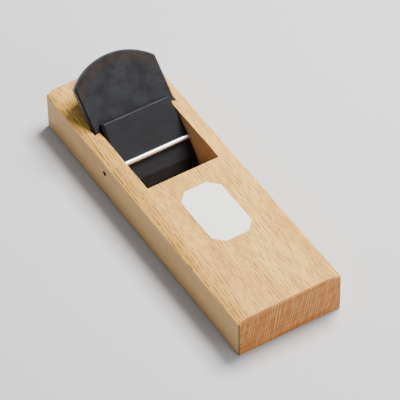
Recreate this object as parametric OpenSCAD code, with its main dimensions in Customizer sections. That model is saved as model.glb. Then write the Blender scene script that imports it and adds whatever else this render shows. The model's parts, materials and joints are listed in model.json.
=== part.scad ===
// Pull plane with a replaceable blade: an oak body, a domed blade carrier wedged in side grooves,
// a thin blade on two pegs, and a chip breaker held down by a cross pin.
// The origin is the middle of the sole. +Y runs along the body towards the domed head, +Z is up.

/* [Body] */
// Length of the wooden body
body_l = 278.5; // [250:0.5:310]
// Width of the wooden body
body_w = 88; // [84:0.5:100]
// Height of the wooden body
body_h = 36.8; // [34:0.1:42]
// Width of the rounded shoulder along each long top edge
shoulder_w = 13; // [8:0.5:16]
// How far the shoulder has dropped where it meets the side
shoulder_drop = 3.7; // [2:0.1:5]
// Chamfer along the sole, the ends and the upright corners
edge_chamfer = 1; // [0.4:0.1:2]

/* [Throat] */
// Width of the throat between its cheeks
throat_w = 62.4; // [58:0.2:66]
// Front edge of the throat on top, measured from the middle of the body
throat_front_y = 8.7; // [0:0.1:18]
// Slope of the bed, its rise over its run
bed_slope = 0.8; // [0.76:0.01:0.84]
// Gap in the sole between the front lip and the cutting edge
mouth_gap = 1.2; // [0.6:0.1:3]
// Height of the steep wall that rises from the front lip
mouth_wall_h = 6; // [4:0.5:9]
// How far the steep wall leans away from the blade
mouth_wall_lean = 1; // [0.5:0.1:2]

/* [Blade carrier] */
// Place where the front face leaves the top of the body, measured from its middle
face_y = 78.6; // [72:0.1:84]
// Length from the cutting edge to the top of the dome
carrier_l = 110; // [104:0.5:116]
// How much wider than the blade the shoulders of the head are, on each side
head_flare = 0.5; // [0.2:0.1:1.5]
// Radius of the domed head
dome_r = 49.5; // [44:0.5:60]
// Radius that softens the two corners of the head
head_corner_r = 2.5; // [1:0.5:4]
// Chamfer round the face of the head
rim_chamfer = 1; // [0.5:0.1:1.5]
// Thickness at the cutting edge, before the toe is ground
toe_t = 3.9; // [3.6:0.1:6]
// Wedge angle between front face and back, in degrees
wedge = 1.34; // [0.8:0.02:2]
// Grinding angle of blade and toe, in degrees
bevel = 28; // [26:1:32]
// How far the ground toe stays back behind the blade's own bevel
toe_relief = 0.8; // [0.4:0.1:1.5]

/* [Replaceable blade] */
// Thickness of the blade
blade_t = 1; // [0.8:0.1:1.4]
// Width of the blade, and of the toe that carries it
blade_w = 70; // [66:0.1:70.5]
// Length of the blade, from the cutting edge to its back
blade_l = 16; // [14:0.5:20]
// Length of the corners clipped off the blade, along its sides
clip_l = 4.5; // [3:0.5:6]
// How far each end of the cutting edge stays inside the throat's cheek
edge_inset = 0.5; // [0.2:0.1:1.5]
// How far the cutting edge is drawn back above the sole at rest
edge_set = 0.1; // [0.05:0.05:0.5]

/* [Locating pegs] */
// Diameter of each peg
peg_d = 3; // [2.4:0.1:4]
// Distance between the two pegs
peg_spacing = 42; // [30:1:50]
// Distance of the pegs from the cutting edge
peg_v = 9.5; // [8.5:0.1:11]
// Depth of the blind holes below the seat
peg_depth = 1.8; // [1.2:0.1:2]

/* [Chip breaker] */
// Gap between each side of the chip breaker and the throat's cheek
breaker_side_gap = 0.5; // [0.3:0.1:1.5]
// Length of the chip breaker
breaker_l = 61.5; // [50:0.5:66]
// Thickness of its plate
breaker_t = 3.2; // [2.4:0.1:4]
// Length of the ground bevel along its front
breaker_bevel_l = 12; // [9:0.5:15]
// Tilt of the plate against the carrier, in degrees
breaker_tilt = 3.5; // [2.5:0.1:4]
// Height of the hollow under the plate at the top of the bevel
hollow_h = 1.2; // [0.8:0.1:1.5]
// Length of the flat land that presses on the blade
land_l = 3; // [2:0.5:4]
// Height of the small steep face at its edge
breaker_edge_h = 0.4; // [0.3:0.1:0.8]
// How far its edge stands back from the cutting edge
breaker_setback = 0.6; // [0.4:0.1:1.5]
// Radius that rounds its upper end and the folds of its ears
breaker_round = 1.6; // [1:0.1:2]
// Length of the ear that is folded down at the top of each side
ear_l = 16; // [12:0.5:20]
// How far the fold of each ear has leaned inwards at the upper end
ear_lean = 1.3; // [0.8:0.1:2]
// Length of the ear's foot on the carrier
ear_foot_l = 6; // [4:0.5:8]

/* [Retaining pin] */
// Diameter of the pin
pin_d = 4; // [3:0.1:5]
// Distance of the pin from the cutting edge, along the face of the carrier
pin_v = 27.3; // [24:0.1:32]
// How far each end of the pin lies inside the side of the body
pin_recess = 2; // [0.5:0.5:4]

/* [Paper label] */
// Width of the label
label_w = 35; // [25:0.5:45]
// Length of the label
label_l = 58.6; // [40:0.2:70]
// Size of the corners cut off the label
label_cut = 8; // [4:0.5:10]
// Distance of the label's middle in front of the body's middle
label_forward = 38; // [34:0.5:60]
// Thickness of the paper
label_t = 0.15; // [0.1:0.05:0.3]

/* [Fits] */
// Gap between the carrier's front face and the grooves
face_clear = 0.1; // [0.05:0.01:0.2]
// Gap between the carrier's back and the bed
bed_clear = 0.1; // [0.05:0.01:0.2]
// Gap at each side of the carrier in its grooves
side_clear = 0.6; // [0.4:0.1:1]
// Gap under the chip breaker's land and ears
land_clear = 0.05; // [0.02:0.01:0.1]
// Gap between the retaining pin and the chip breaker
pin_gap = 0.1; // [0.05:0.01:0.2]
// Gap round the pin and the pegs in their holes
hole_clear = 0.02; // [0.01:0.01:0.05]
// Gap round the pegs in the blade, and behind the blade
blade_clear = 0.1; // [0.05:0.01:0.2]

/* [Hidden] */
$fn = 64;
// Overshoot of a cut past the face that it opens
past = 1;

// Angles of bed and carrier face above the sole
bed_angle = atan(bed_slope);
face_angle = bed_angle + wedge;

// Place of the cutting edge. The carrier's own frame starts there: X across, Y up along its
// front face, Z out of that face.
edge_y = face_y - (body_h - edge_set) / tan(face_angle);
lip_y = edge_y - mouth_gap;

// Radius and centre of the shoulder's arc, tangent to the top of the body
shoulder_r = (shoulder_w * shoulder_w + shoulder_drop * shoulder_drop) / (2 * shoulder_drop);
shoulder_angle = asin(shoulder_w / shoulder_r);
// Flats of the chamfer round the shoulder's end, and the share of one that laps over the side
shoulder_flats = 2;
flat_lap = 0.5;

// Width across the shoulders of the head, the grooves that take it, and the distance up the
// carrier at which its face leaves the body
carrier_w = blade_w + 2 * head_flare;
groove_w = carrier_w + 2 * side_clear;
top_v = (body_h - edge_set) / sin(face_angle);
// How far the carrier's slot runs on past the sole and the top
run_out = 20;

// Dome of the head: its centre on the carrier's midline, and the centre of each softened corner
dome_v = carrier_l - dome_r;
corner_x = carrier_w / 2 - head_corner_r;
corner_v = dome_v + sqrt(pow(dome_r - head_corner_r, 2) - corner_x * corner_x);
corner_angle = atan2(corner_v - dome_v, corner_x);
// Angle by which the corner's chamfer laps over the side and the dome
lap = 10;

// Cutting edge between its clipped corners, and how fast the clips widen
edge_w = throat_w - 2 * edge_inset;
clip_slope = (blade_w - edge_w) / 2 / clip_l;

// Place where the blade's bevel reaches its back, and where the toe of the carrier begins
blade_bevel_v = blade_t / tan(bevel);
toe_v = blade_bevel_v + toe_relief;
heel_v = (toe_t / tan(bevel) + toe_relief) / (1 - tan(wedge) / tan(bevel));
seat_v = blade_l + blade_clear;

// Chip breaker: its width, the top of its bevel and its upper end along the carrier,
// and the length of the flat plate between them
breaker_w = throat_w - 2 * breaker_side_gap;
breaker_bevel_v = breaker_setback + breaker_bevel_l;
breaker_end_v = breaker_setback + breaker_l;
plate_l = (breaker_end_v - breaker_bevel_v) / cos(breaker_tilt);
// Direction out of the plate's upper face, as [along the carrier, out of it]
plate_up = [-sin(breaker_tilt), cos(breaker_tilt)];

// Folded ears: lean of the fold, how far down the side its rounding runs out, and the place of
// the foot's upper end
fold_angle = atan(ear_lean / ear_l);
fold_run = ear_l + breaker_round / tan(fold_angle);
foot_end_v = breaker_end_v + (under_breaker(breaker_end_v) - land_clear) * tan(breaker_tilt);

// Retaining pin: its centre above the carrier's face, and in the body
pin_h = face_of_breaker(pin_v) + (pin_gap + pin_d / 2) / cos(breaker_tilt);
pin_y = edge_y + pin_v * cos(face_angle) - pin_h * sin(face_angle);
pin_z = edge_set + pin_v * sin(face_angle) + pin_h * cos(face_angle);

// Thickness of the carrier at a distance from the cutting edge
function carrier_t(v) = toe_t + v * tan(wedge);

// Height of the chip breaker's underside and upper face above the carrier
function under_breaker(v) = hollow_h + (v - breaker_bevel_v) * tan(breaker_tilt);
function face_of_breaker(v) = under_breaker(v) + breaker_t / cos(breaker_tilt);

// Puts a piece from the carrier's own frame into the body
module on_carrier() {
    translate([0, edge_y, edge_set])
        rotate([face_angle, 0, 0])
            children();
}

// Repeats a piece of the right side, mirrored, on the left
module both_sides() {
    children();
    mirror([1, 0, 0])
        children();
}

// Extrudes a side view, drawn as [along Y, up Z], across the plane
module across(width) {
    rotate([90, 0, 90])
        linear_extrude(width, center = true)
            children();
}

// End view of the body: flat top, arched shoulders and chamfered lower edges
module end_view() {
    difference() {
        translate([-body_w / 2, 0])
            square([body_w, body_h]);
        both_sides() {
            shoulder_waste();
            translate([body_w / 2, 0])
                rotate(45)
                    square(edge_chamfer * sqrt(2), center = true);
        }
    }
}

// What the shoulder takes off the right top edge
module shoulder_waste() {
    difference() {
        translate([body_w / 2 - shoulder_w, body_h - shoulder_drop])
            square([shoulder_w + past, shoulder_drop + past]);
        translate([body_w / 2 - shoulder_w, body_h - shoulder_r])
            circle(shoulder_r, $fn = 180);
    }
}

// Chamfers on the end at -Y: one along the sole, one along the top, one on each upright corner
module end_chamfers() {
    cut = edge_chamfer * sqrt(2);
    translate([0, -body_l / 2, 0]) {
        for (z = [0, body_h])
            translate([0, 0, z])
                rotate([45, 0, 0])
                    cube([body_w + 2 * past, cut, cut], center = true);
        both_sides() {
            translate([body_w / 2, 0, body_h / 2])
                rotate([0, 0, 45])
                    cube([cut, cut, body_h + 2 * past], center = true);
            shoulder_end_chamfer();
        }
    }
}

// Chamfer that follows the shoulder's arc round the end, in flats tangent to the arc
module shoulder_end_chamfer() {
    cut = edge_chamfer * sqrt(2);
    for (flat = [1 : shoulder_flats])
        translate([body_w / 2 - shoulder_w, 0, body_h - shoulder_r])
            rotate([0, shoulder_angle * flat / (shoulder_flats + flat_lap), 0])
                translate([0, 0, shoulder_r])
                    rotate([45, 0, 0])
                        cube([body_w, cut, cut], center = true);
}

// Side view of the throat: front wall, steep wall over the lip, and back into the carrier's slot
module throat_view() {
    polygon([
        [throat_front_y, body_h + past],
        [throat_front_y, body_h],
        [lip_y - mouth_wall_lean, mouth_wall_h],
        [lip_y, 0],
        [lip_y, -past],
        [edge_y + toe_t, -past],
        [face_y + toe_t, body_h],
        [face_y + toe_t, body_h + past]
    ]);
}

// Slot for the carrier, drawn in its own frame: grooves in front, bed behind
module carrier_slot() {
    across(groove_w)
        polygon([
            [-run_out, face_clear],
            [top_v + run_out, face_clear],
            [top_v + run_out, -carrier_t(top_v + run_out) - bed_clear],
            [-run_out, -carrier_t(-run_out) - bed_clear]
        ]);
}

module body_block() {
    color("burlywood")
        difference() {
            rotate([90, 0, 0])
                linear_extrude(body_l, center = true)
                    end_view();
            for (turn = [0, 180])
                rotate([0, 0, turn])
                    end_chamfers();
            across(throat_w)
                throat_view();
            on_carrier()
                carrier_slot();
            translate([0, pin_y, pin_z])
                rotate([0, 90, 0])
                    cylinder(d = pin_d + 2 * hole_clear, h = body_w + 2 * past, center = true);
        }
}

// Outline of the carrier, seen square to its face
module carrier_outline() {
    difference() {
        intersection() {
            polygon([
                [-blade_w / 2, 0],
                [blade_w / 2, 0],
                [carrier_w / 2, corner_v],
                [carrier_w / 2, carrier_l],
                [-carrier_w / 2, carrier_l],
                [-carrier_w / 2, corner_v]
            ]);
            union() {
                translate([0, dome_v])
                    circle(dome_r, $fn = 180);
                translate([-carrier_w / 2, 0])
                    square([carrier_w, corner_v]);
            }
        }
        both_sides() {
            head_corner_waste();
            corner_clip();
        }
    }
}

// What softens the right corner of the head, between the side and the dome
module head_corner_waste() {
    difference() {
        translate([corner_x, corner_v])
            polygon([
                [0, 0],
                [2 * head_corner_r, 0],
                [2 * head_corner_r, 2 * head_corner_r * tan(corner_angle)]
            ]);
        translate([corner_x, corner_v])
            circle(head_corner_r);
    }
}

// The corner clipped off the right side of the edge, shared by blade and carrier
module corner_clip() {
    polygon([
        [edge_w / 2 - past * clip_slope, -past],
        [blade_w, -past],
        [blade_w, (blade_w - edge_w / 2) / clip_slope]
    ]);
}

// Triangle that a turned or straight cutter takes along a rim, radius measured from x = 0
module rim_cut(radius) {
    polygon([
        [radius - rim_chamfer - past, past],
        [radius + past, past],
        [radius + past, -rim_chamfer - past]
    ]);
}

// Space that leaves the chamfer on the dome: a cone over it, and a plain block below
module dome_envelope() {
    depth = carrier_t(carrier_l) + past;
    face_r = dome_r - rim_chamfer;
    translate([0, dome_v, -depth])
        cylinder(r1 = face_r + depth, r2 = face_r - past, h = depth + past, $fn = 180);
    translate([-carrier_w, -past, -depth])
        cube([2 * carrier_w, corner_v + past, depth + past]);
}

// Chamfer round the face of the head, over both corners and both sides
module face_chamfer() {
    side_lean = atan((carrier_w - blade_w) / 2 / corner_v);
    both_sides() {
        translate([corner_x, corner_v, 0])
            rotate([0, 0, -lap])
                rotate_extrude(angle = corner_angle + 2 * lap)
                    rim_cut(head_corner_r);
        translate([carrier_w / 2, corner_v, 0])
            rotate([0, 0, -side_lean])
                translate([0, head_corner_r, 0])
                    rotate([90, 0, 0])
                        linear_extrude(corner_v + head_corner_r + past)
                            rim_cut(0);
    }
}

module blade_carrier() {
    color("darkslategray")
        on_carrier()
            difference() {
                intersection() {
                    across(carrier_w + 2 * past)
                        polygon([
                            [toe_v, -blade_t],
                            [seat_v, -blade_t],
                            [seat_v, 0],
                            [carrier_l, 0],
                            [carrier_l, -carrier_t(carrier_l)],
                            [heel_v, -carrier_t(heel_v)]
                        ]);
                    translate([0, 0, -carrier_t(carrier_l) - past])
                        linear_extrude(carrier_t(carrier_l) + 2 * past)
                            carrier_outline();
                    dome_envelope();
                }
                face_chamfer();
                peg_holes(hole_clear, -blade_t - peg_depth);
            }
}

// The two holes for the pegs, from a depth up past the face of the carrier
module peg_holes(clearance, bottom) {
    for (side = [-1, 1])
        translate([side * peg_spacing / 2, peg_v, bottom])
            cylinder(d = peg_d + 2 * clearance, h = past - bottom);
}

module replaceable_blade() {
    color("gainsboro")
        on_carrier()
            difference() {
                across(blade_w)
                    polygon([[0, 0], [blade_l, 0], [blade_l, -blade_t], [blade_bevel_v, -blade_t]]);
                both_sides()
                    translate([0, 0, -blade_t - past])
                        linear_extrude(blade_t + 2 * past)
                            corner_clip();
                peg_holes(blade_clear, -blade_t - past);
            }
}

module locating_pegs() {
    color("silver")
        on_carrier()
            for (side = [-1, 1])
                translate([side * peg_spacing / 2, peg_v, -blade_t - peg_depth + hole_clear])
                    cylinder(d = peg_d, h = blade_t + peg_depth - hole_clear - blade_clear);
}

// Side view of the plate in the carrier's frame: bevel, rounded upper end, hollow and land
module plate_view() {
    end_low = [breaker_end_v, under_breaker(breaker_end_v)];
    difference() {
        polygon([
            [breaker_setback, land_clear],
            [breaker_setback + land_l, land_clear],
            [breaker_bevel_v, under_breaker(breaker_bevel_v)],
            end_low,
            end_low + breaker_t * plate_up,
            [breaker_bevel_v, face_of_breaker(breaker_bevel_v)],
            [breaker_setback, land_clear + breaker_edge_h]
        ]);
        translate(end_low)
            rotate(breaker_tilt)
                round_waste();
    }
}

// What the rounding takes off an upper edge of the plate, drawn with that edge at X = 0
module round_waste() {
    difference() {
        translate([-breaker_round, breaker_t - breaker_round])
            square(breaker_round + past);
        translate([-breaker_round, breaker_t - breaker_round])
            circle(breaker_round);
    }
}

// Side view of an ear in the carrier's frame, from inside the plate down to its foot
module ear_view() {
    ear_v = breaker_end_v - ear_l;
    root = breaker_t / 2;
    polygon([
        [ear_v, under_breaker(ear_v) + root],
        [ear_v, under_breaker(ear_v)],
        [breaker_end_v - ear_foot_l, land_clear],
        [foot_end_v, land_clear],
        [breaker_end_v, under_breaker(breaker_end_v)] + root * plate_up
    ]);
}

// Puts a piece on the fold of the right ear: Y runs up along it, X points out of the side
module on_fold() {
    translate([0, breaker_bevel_v, hollow_h])
        rotate([breaker_tilt, 0, 0])
            translate([breaker_w / 2 - ear_lean, plate_l, 0])
                rotate([0, 0, fold_angle])
                    children();
}

// What is left outside the fold, with the rounding along its upper edge
module fold_waste() {
    translate([0, past, 0])
        rotate([90, 0, 0])
            linear_extrude(past + fold_run) {
                translate([0, -breaker_l])
                    square([ear_lean + past, breaker_l + breaker_t + past]);
                round_waste();
            }
}

// The right ear, as thick as the plate
module ear() {
    intersection() {
        across(breaker_w)
            ear_view();
        on_fold()
            translate([-breaker_t, -2 * ear_l, -breaker_l])
                cube([breaker_t + ear_lean, 3 * ear_l, 2 * breaker_l]);
    }
}

module chip_breaker() {
    color("slategray")
        on_carrier()
            difference() {
                union() {
                    across(breaker_w)
                        plate_view();
                    both_sides()
                        ear();
                }
                both_sides()
                    on_fold()
                        fold_waste();
            }
}

module retaining_pin() {
    color("whitesmoke")
        translate([0, pin_y, pin_z])
            rotate([0, 90, 0])
                cylinder(d = pin_d, h = body_w - 2 * pin_recess, center = true);
}

module paper_label() {
    half_w = label_w / 2;
    half_l = label_l / 2;
    color("white")
        translate([0, -label_forward, body_h])
            linear_extrude(label_t)
                polygon([
                    [-half_w, -half_l + label_cut],
                    [-half_w + label_cut, -half_l],
                    [half_w - label_cut, -half_l],
                    [half_w, -half_l + label_cut],
                    [half_w, half_l - label_cut],
                    [half_w - label_cut, half_l],
                    [-half_w + label_cut, half_l],
                    [-half_w, half_l - label_cut]
                ]);
}

body_block();
blade_carrier();
replaceable_blade();
locating_pegs();
chip_breaker();
retaining_pin();
paper_label();
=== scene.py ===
import json
from math import atan2, radians, tau

import bpy
from mathutils import Matrix, Vector


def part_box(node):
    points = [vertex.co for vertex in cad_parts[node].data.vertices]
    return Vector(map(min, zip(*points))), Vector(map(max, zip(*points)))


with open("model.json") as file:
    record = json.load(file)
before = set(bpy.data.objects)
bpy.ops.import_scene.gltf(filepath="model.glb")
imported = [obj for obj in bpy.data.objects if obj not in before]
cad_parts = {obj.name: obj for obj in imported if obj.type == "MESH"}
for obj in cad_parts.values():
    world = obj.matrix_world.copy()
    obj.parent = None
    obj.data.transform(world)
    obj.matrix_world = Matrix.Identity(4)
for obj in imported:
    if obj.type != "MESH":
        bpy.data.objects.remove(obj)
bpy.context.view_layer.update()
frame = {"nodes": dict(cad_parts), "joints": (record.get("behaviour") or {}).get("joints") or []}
nodes = frame["nodes"]
mm = 0.001
print("frame loaded")


# sRGB hex to linear RGBA
def hexToLinear(code):
    channels = [int(code[i:i + 2], 16) / 255 for i in (1, 3, 5)]
    return [c / 12.92 if c <= 0.04045 else ((c + 0.055) / 1.055) ** 2.4 for c in channels] + [1]


# Adds a node, sets its settings, then fills or links its inputs
def addNode(tree, kind, inputs, **settings):
    node = tree.nodes.new("ShaderNode" + kind)
    for name, value in settings.items():
        setattr(node, name, value)
    for key, value in inputs.items():
        if isinstance(value, bpy.types.NodeSocket):
            tree.links.new(value, node.inputs[key])
        else:
            node.inputs[key].default_value = value
    return node


def newMaterial(name):
    material = bpy.data.materials.new(name)
    material.use_nodes = True
    return material, material.node_tree, material.node_tree.nodes["Principled BSDF"]


# Coordinates that are turned, then scaled so that one unit is the given size along each axis
def stretched(tree, place, sizes, turn=(0, 0, 0)):
    turned = addNode(tree, "Mapping", {"Vector": place, "Rotation": turn}).outputs[0]
    perUnit = [1 / size for size in sizes]
    return addNode(tree, "VectorMath", {0: turned, 1: perUnit}, operation="MULTIPLY").outputs[0]


# Noise whose patches have about the given size along each axis
def patches(tree, place, sizes, detail, roughness=0.5, turn=(0, 0, 0)):
    return addNode(tree, "TexNoise", {"Vector": stretched(tree, place, sizes, turn), "Scale": 1,
                                      "Detail": detail, "Roughness": roughness}).outputs["Fac"]


# The product of its rules: a rule is another mask, or a value with where it gives 0 and where it gives 1
def mask(tree, *rules):
    product = None
    for rule in rules:
        if isinstance(rule, tuple):
            value, empty, full = rule
            rule = addNode(tree, "MapRange", {"Value": value, "From Min": empty, "From Max": full},
                           interpolation_type="SMOOTHSTEP").outputs[0]
        if product is None:
            product = rule
        else:
            product = addNode(tree, "Math", {0: product, 1: rule}, operation="MULTIPLY").outputs[0]
    return product


# A ground with coats over it, each a mask and then a colour with its strength
def painted(tree, ground, *coats):
    colour = hexToLinear(ground) if isinstance(ground, str) else ground
    for cover, (coat, strength) in coats:
        amount = addNode(tree, "Math", {0: cover, 1: strength}, operation="MULTIPLY").outputs[0]
        coat = hexToLinear(coat) if isinstance(coat, str) else coat
        colour = addNode(tree, "Mix", {0: amount, 6: colour, 7: coat}, data_type="RGBA").outputs[2]
    return colour


# Gives the shader its colour, and a relief made from a height pattern, a strength and a depth
def finishSurface(tree, shader, colour, height, relief):
    strength, depth = relief
    bump = addNode(tree, "Bump", {"Height": height, "Strength": strength, "Distance": depth})
    tree.links.new(colour, shader.inputs["Base Color"])
    tree.links.new(bump.outputs[0], shader.inputs["Normal"])


noiseSpan = (0.3, 0.7)  # nearly all of a noise lies in this range


# Makes the shader a metal, with a roughness that follows a noise from low to high
def finishMetal(tree, shader, metallic, noise, roughness):
    uneven = addNode(tree, "MapRange", {"Value": noise, "From Min": noiseSpan[0], "From Max": noiseSpan[1],
                                        "To Min": roughness[0], "To Max": roughness[1]},
                     interpolation_type="SMOOTHSTEP")
    shader.inputs["Metallic"].default_value = metallic
    tree.links.new(uneven.outputs[0], shader.inputs["Roughness"])


def dress(nodeName, material):
    nodes[nodeName].data.materials.clear()
    nodes[nodeName].data.materials.append(material)


# Oak, planed and left bare: matt and straight in the grain, with short dark dashes on top where the rays
# come out, and the same rays as fine light lines on the ends
oak = {
    # planed faces: the ground, then each coat's colour and strength
    "ground": "#ecb95c", "cloud": ("#dba24a", 1), "streak": ("#c68d3e", 0.6),
    # the last coat on the next line is painted shade, greying every face but the top
    "dash": ("#54351a", 0.68), "pore": ("#54351a", 0.3), "side": ("#bda384", 0.5),
    # ends
    "endGround": "#bd7831", "ring": ("#a06129", 1), "ray": ("#e8b474", 0.65), "endPore": ("#a06129", 0.3),
    # painted shade: greying in the throat, darkening on the left upright corners and inside the pin's bore
    "wall": ("#ab9072", 0.45), "cornerShade": ("#4a2f1a", 0.75), "boreShade": ("#4a2f1a", 0.9),
    # patch sizes across the body, along it and up
    "clouds": {"sizes": (22 * mm, 110 * mm, 22 * mm), "detail": 3, "turn": (0, 0, radians(2))},
    "streaks": {"sizes": (8 * mm, 60 * mm, 1.6 * mm), "detail": 4, "roughness": 0.6},
    "pores": {"sizes": (0.45 * mm, 12 * mm, 0.45 * mm), "detail": 2, "turn": (0, 0, radians(2))},
    "rings": {"sizes": (70 * mm, 400 * mm, 3.6 * mm), "detail": 4, "roughness": 0.6,
              "turn": (0.02, 0.06, 0)},
    # rays are thin upright sheets, drawn a little further apart than real ones so that they show
    "rays": {"sizes": (2.1 * mm, 8 * mm, 16 * mm), "turn": (0, radians(-9), radians(2))},
    "rayWander": {"sizes": (9 * mm, 70 * mm, 30 * mm), "detail": 2}, "wanderSpacings": 2.5,
    # where each pattern starts to show and where it is full
    "cloudEdge": (0.35, 0.68), "streakEdge": (0.42, 0.7), "poreEdge": (0.53, 0.64),
    "ringEdge": (0.38, 0.66), "rayEdge": (0.35, 0.9), "rayBreak": (0.4, 0.56), "sideEdge": (0.9, 0.1),
    # the same for the throat's walls, from the body's middle, and for the bore, from the pin's surface
    "throatAcross": (39 * mm, 38 * mm), "throatAlong": (100 * mm, 90 * mm),
    "boreEdge": (0.3 * mm, 0.2 * mm),
    "roughness": 0.6, "ior": 1.5, "specular": 0.3,
    "dashDepth": -0.6, "poreDepth": -0.4, "relief": (0.25, 0.12 * mm),
}
# How far a face looks along an axis, 1 being straight at it, for each way that it is cut
# the ranges that keep the upright corner chamfers and the sole chamfer out of the end grain paint them pale,
# a painted highlight
looks = {"atEnds": (0.6, 0.66), "sidesAndLitCorners": (0.66, 0.6), "litSoleChamfer": (-0.5, -0.3), "upOrDown": (0.35, 0.8),
         "cornerToLeft": (-0.6, -0.7), "cornerToEnd": (0.6, 0.7)}
pinLow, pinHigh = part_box("retaining_pin")
pinCentre = (pinLow + pinHigh) / 2
pinRadius = (pinHigh.z - pinLow.z) / 2


# Sheets across the body that wander a little and are broken along it
def rayMask(tree, place):
    sheets = stretched(tree, place, **oak["rays"])
    wander = patches(tree, place, **oak["rayWander"])
    across = addNode(tree, "SeparateXYZ", {"Vector": sheets}).outputs["X"]
    spacings = addNode(tree, "Math", {0: wander, 1: oak["wanderSpacings"], 2: across},
                       operation="MULTIPLY_ADD").outputs[0]
    angle = addNode(tree, "Math", {0: spacings, 1: tau}, operation="MULTIPLY").outputs[0]
    wave = addNode(tree, "Math", {0: angle}, operation="SINE").outputs[0]
    breaks = addNode(tree, "TexNoise", {"Vector": sheets, "Scale": 1, "Detail": 1}).outputs["Fac"]
    return mask(tree, (wave, *oak["rayEdge"]), (breaks, *oak["rayBreak"]))


def makeOak():
    material, tree, shader = newMaterial("planedOak")
    coordinates = addNode(tree, "TexCoord", {}).outputs
    place, normal = coordinates["Object"], coordinates["Normal"]
    # both without their signs, as distance from the middle and as the axis that a face looks along
    plainPlace = addNode(tree, "VectorMath", {0: place}, operation="ABSOLUTE").outputs[0]
    plainNormal = addNode(tree, "VectorMath", {0: normal}, operation="ABSOLUTE").outputs[0]
    fromMiddle = addNode(tree, "SeparateXYZ", {"Vector": plainPlace}).outputs
    facing = addNode(tree, "SeparateXYZ", {"Vector": plainNormal}).outputs
    towards = addNode(tree, "SeparateXYZ", {"Vector": normal}).outputs

    # the ends and the chamfers round them are cut across the fibres and take the end grain; the upright
    # corner chamfers and the one along the sole keep the paler planed colour instead, a painted highlight
    # where they catch the light
    endFace = mask(tree, (facing["Y"], *looks["atEnds"]), (facing["X"], *looks["sidesAndLitCorners"]),
                   (towards["Z"], *looks["litSoleChamfer"]))
    upFace = mask(tree, (facing["Z"], *looks["upOrDown"]))
    ray = rayMask(tree, place)
    dash = mask(tree, ray, upFace)
    pore = mask(tree, (patches(tree, place, **oak["pores"]), *oak["poreEdge"]))
    cloud = mask(tree, (patches(tree, place, **oak["clouds"]), *oak["cloudEdge"]))
    streak = mask(tree, (patches(tree, place, **oak["streaks"]), *oak["streakEdge"]))
    ring = mask(tree, (patches(tree, place, **oak["rings"]), *oak["ringEdge"]))
    side = mask(tree, (upFace, *oak["sideEdge"]))  # painted shade: every face but the top is greyed, standing for the dimmer light on the sides
    planed = painted(tree, oak["ground"], (cloud, oak["cloud"]), (streak, oak["streak"]),
                     (dash, oak["dash"]), (pore, oak["pore"]), (side, oak["side"]))
    endGrain = painted(tree, oak["endGround"], (ring, oak["ring"]), (ray, oak["ray"]),
                       (pore, oak["endPore"]))

    # painted shade: the throat's walls are greyed against the warm light bounced between them, and the left
    # upright corners, turned away from the key light, are darkened
    steep = addNode(tree, "Math", {0: 1, 1: upFace}, operation="SUBTRACT").outputs[0]
    throatShadeMask = mask(tree, (fromMiddle["X"], *oak["throatAcross"]),
                    (fromMiddle["Y"], *oak["throatAlong"]), steep)
    cornerShadeMask = mask(tree, (towards["X"], *looks["cornerToLeft"]), (facing["Y"], *looks["cornerToEnd"]))
    # distance from the pin's axis, which runs along X
    alongPin = addNode(tree, "VectorMath", {0: place, 1: (0, 1, 1)}, operation="MULTIPLY").outputs[0]
    fromPin = addNode(tree, "VectorMath", {0: alongPin, 1: pinCentre}, operation="DISTANCE").outputs["Value"]
    # painted shade inside the pin's bore, where the pin's end sits in shadow
    boreShadeMask = mask(tree, (fromPin, *[pinRadius + gap for gap in oak["boreEdge"]]))
    colour = painted(tree, planed, (endFace, (endGrain, 1)), (throatShadeMask, oak["wall"]),
                     (cornerShadeMask, oak["cornerShade"]), (boreShadeMask, oak["boreShade"]))

    shader.inputs["Roughness"].default_value = oak["roughness"]
    shader.inputs["IOR"].default_value = oak["ior"]
    shader.inputs["Specular IOR Level"].default_value = oak["specular"]
    dashes = addNode(tree, "Math", {0: dash, 1: oak["dashDepth"]}, operation="MULTIPLY").outputs[0]
    height = addNode(tree, "Math", {0: pore, 1: oak["poreDepth"], 2: dashes},
                     operation="MULTIPLY_ADD").outputs[0]
    finishSurface(tree, shader, colour, height, oak["relief"])
    return material


dress("body_block", makeOak())
print("oak done")

# Forged steel with a black oxide: dark slate with a thin oily sheen, a light line along the rim of the head
# that is wear and also a painted highlight where the rim's chamfer catches the light, with a brown band
# inside it where the heat tinted it
oxide = {
    "ground": "#1a1b1f", "mottle": ("#1f2126", 1), "streak": ("#131215", 0.4),
    "heat": ("#281e19", 0.7), "wornAndHighlight": ("#5c5d62", 0.6),
    "mottling": {"sizes": (12 * mm, 12 * mm, 12 * mm), "detail": 5, "roughness": 0.6},
    "streaks": {"sizes": (30 * mm, 3.5 * mm, 20 * mm), "detail": 4, "roughness": 0.6},
    "grain": {"sizes": (1.2 * mm, 1.2 * mm, 1.2 * mm), "detail": 3, "roughness": 0.6},
    "mottleEdge": (0.35, 0.65), "streakEdge": (0.45, 0.7),
    "arching": 8,  # for each metre: about 10 mm of rise from the middle to the sides
    "heatInner": (1 * mm, 4 * mm), "heatOuter": (12 * mm, 6 * mm), "heatWander": 4 * mm,
    "wornHighlightEdge": (1.5 * mm, 0.6 * mm),
    "metallic": 0.6, "headRoughness": (0.38, 0.54), "plateRoughness": (0.5, 0.66), "relief": (0.12, 0.2 * mm),
}
# The carrier's face starts at the cutting edge and slopes as its slide does. Its head is an arc.
bladeLow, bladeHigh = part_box("replaceable_blade")
slide = next(joint for joint in frame["joints"] if joint["name"] == "carrier_slide")
face = {"edge": (0, bladeLow.y, bladeLow.z), "slope": atan2(slide["axis"][2], slide["axis"][1]),
        "length": 110 * mm, "domeRadius": 49.5 * mm}
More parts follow.
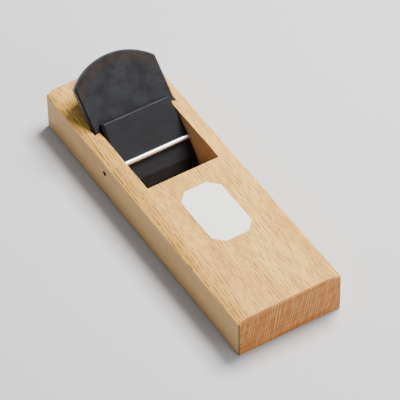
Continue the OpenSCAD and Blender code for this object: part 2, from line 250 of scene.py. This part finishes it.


# The heat's band, and the worn line that is also a painted highlight, by their distance inside the arc of the
# head
def rimCoats(tree, place, mottling):
    domeCentre = (0, face["length"] - face["domeRadius"], 0)
    fromCentre = addNode(tree, "VectorMath", {0: place, 1: domeCentre}, operation="DISTANCE").outputs["Value"]
    inside = addNode(tree, "Math", {0: face["domeRadius"], 1: fromCentre}, operation="SUBTRACT").outputs[0]
    bothWays = addNode(tree, "Math", {0: mottling, 1: sum(noiseSpan) / 2}, operation="SUBTRACT").outputs[0]
    wandering = addNode(tree, "Math", {0: bothWays, 1: oxide["heatWander"], 2: inside},
                        operation="MULTIPLY_ADD").outputs[0]
    heat = mask(tree, (wandering, *oxide["heatInner"]), (wandering, *oxide["heatOuter"]))
    wornAndHighlight = mask(tree, (inside, *oxide["wornHighlightEdge"]))
    return [(heat, oxide["heat"]), (wornAndHighlight, oxide["wornAndHighlight"])]


def makeOxide(name, roughness, hasRim):
    material, tree, shader = newMaterial(name)
    # X across the face, Y up it, Z out of it
    place = addNode(tree, "Mapping", {"Vector": addNode(tree, "TexCoord", {}).outputs["Object"],
                                      "Location": face["edge"], "Rotation": (face["slope"], 0, 0)},
                    vector_type="TEXTURE").outputs[0]
    mottling = patches(tree, place, **oxide["mottling"])
    # forging has left faint streaks that arch across the face
    at = addNode(tree, "SeparateXYZ", {"Vector": place}).outputs
    square = addNode(tree, "Math", {0: at["X"], 1: at["X"]}, operation="MULTIPLY").outputs[0]
    arch = addNode(tree, "Math", {0: square, 1: oxide["arching"], 2: at["Y"]},
                   operation="MULTIPLY_ADD").outputs[0]
    arched = addNode(tree, "CombineXYZ", {"X": at["X"], "Y": arch, "Z": at["Z"]}).outputs[0]
    streaks = patches(tree, arched, **oxide["streaks"])
    coats = [(mask(tree, (mottling, *oxide["mottleEdge"])), oxide["mottle"]),
             (mask(tree, (streaks, *oxide["streakEdge"])), oxide["streak"])]
    if hasRim:
        coats += rimCoats(tree, place, mottling)
    colour = painted(tree, oxide["ground"], *coats)
    finishMetal(tree, shader, oxide["metallic"], mottling, roughness)
    finishSurface(tree, shader, colour, patches(tree, place, **oxide["grain"]), oxide["relief"])
    return material


dress("blade_carrier", makeOxide("blackOxideHead", oxide["headRoughness"], True))
dress("chip_breaker", makeOxide("blackOxidePlate", oxide["plateRoughness"], False))
print("black oxide done")

# Tool steel, ground along the edge: bright, with fine dark scratches
bladeSteel = {"ground": "#b9babd", "scratch": ("#8f9195", 1), "roughness": (0.23, 0.36),
              "scratches": {"sizes": (12 * mm, 0.15 * mm, 0.15 * mm), "detail": 3}}
# Drawn steel rod: smooth and very bright, with faint lines along it
rodSteel = {"ground": "#f2f3f4", "scratch": ("#b9bbbe", 1), "roughness": (0.29, 0.42),
            "scratches": {"sizes": (40 * mm, 0.3 * mm, 0.3 * mm), "detail": 3}}
brightSteel = {"scratchEdge": (0.4, 0.7), "metallic": 1, "relief": (0.05, 0.05 * mm)}


def makeSteel(name, steel):
    material, tree, shader = newMaterial(name)
    scratches = patches(tree, addNode(tree, "TexCoord", {}).outputs["Object"], **steel["scratches"])
    scratch = mask(tree, (scratches, *brightSteel["scratchEdge"]))
    colour = painted(tree, steel["ground"], (scratch, steel["scratch"]))
    finishMetal(tree, shader, brightSteel["metallic"], scratches, steel["roughness"])
    finishSurface(tree, shader, colour, scratches, brightSteel["relief"])
    return material


dress("replaceable_blade", makeSteel("groundToolSteel", bladeSteel))
rod = makeSteel("drawnSteelRod", rodSteel)
dress("retaining_pin", rod)
dress("locating_pegs", rod)
print("bright steel done")

# Uncoated paper: matt white with short soft fibres, drawn coarser than real ones so that they show
paper = {"ground": "#fbfbfa", "fibre": ("#ecebe7", 1), "fibreEdge": (0.45, 0.7), "roughness": 0.85,
         "fibres": {"sizes": (1.4 * mm, 1.4 * mm, 1.4 * mm), "detail": 4, "roughness": 0.7},
         "relief": (0.1, 0.05 * mm)}


def makePaper():
    material, tree, shader = newMaterial("uncoatedPaper")
    fibres = patches(tree, addNode(tree, "TexCoord", {}).outputs["Object"], **paper["fibres"])
    colour = painted(tree, paper["ground"], (mask(tree, (fibres, *paper["fibreEdge"])), paper["fibre"]))
    shader.inputs["Roughness"].default_value = paper["roughness"]
    finishSurface(tree, shader, colour, fibres, paper["relief"])
    return material


dress("paper_label", makePaper())
print("paper done")

# Pale floor, the top of a big painted board
board = {"colour": "#d0d1d3", "size": 6, "roughness": 0.9}
bpy.ops.object.select_all(action="DESELECT")
bpy.ops.mesh.primitive_plane_add(size=board["size"], location=(0, 0, 0))
floor = bpy.context.object
floor.name = "floor"
paint, paintTree, paintShader = newMaterial("paintedBoard")
paintShader.inputs["Base Color"].default_value = hexToLinear(board["colour"])
paintShader.inputs["Roughness"].default_value = board["roughness"]
floor.data.materials.append(paint)

# Camera, solved from the straight edges of the body
shot = {"place": (-795.84 * mm, -1347.59 * mm, 1662.92 * mm), "heading": radians(-30.843),
        "down": radians(46.481), "roll": radians(-1.071), "lens": 272.7, "sensor": 36, "clip": (0.05, 20)}
cameraData = bpy.data.cameras.new("camera")
cameraData.lens = shot["lens"]
cameraData.sensor_width = shot["sensor"]
cameraData.clip_start, cameraData.clip_end = shot["clip"]
camera = bpy.data.objects.new("camera", cameraData)
bpy.context.scene.collection.objects.link(camera)
camera.matrix_world = (Matrix.Translation(shot["place"]) @ Matrix.Rotation(shot["heading"], 4, "Z")
                       @ Matrix.Rotation(radians(90) - shot["down"], 4, "X")
                       @ Matrix.Rotation(shot["roll"], 4, "Z"))
bpy.context.scene.camera = camera

# Soft key from above and to the right, a weak fill from the front, and a cool room all round
keyLight = {"place": (0.6, 0.15, 1.2), "size": 0.6, "power": 50, "colour": "#fffbf5"}
fillLight = {"place": (0.5, -1.5, 0.8), "size": 1, "power": 12, "colour": "#fffaf4"}
room = {"colour": "#dfe7f4", "strength": 0.36}


# A square area light that looks at the origin
def addLight(name, light):
    data = bpy.data.lights.new(name, "AREA")
    data.size = light["size"]
    data.energy = light["power"]
    data.color = hexToLinear(light["colour"])[:3]
    lamp = bpy.data.objects.new(name, data)
    bpy.context.scene.collection.objects.link(lamp)
    aim = (-Vector(light["place"])).to_track_quat("-Z", "Y").to_matrix().to_4x4()
    lamp.matrix_world = Matrix.Translation(light["place"]) @ aim


addLight("key", keyLight)
addLight("fill", fillLight)
world = bpy.data.worlds.new("studio")
world.use_nodes = True
background = world.node_tree.nodes["Background"]
background.inputs["Color"].default_value = hexToLinear(room["colour"])
background.inputs["Strength"].default_value = room["strength"]
bpy.context.scene.world = world
print("stage done")
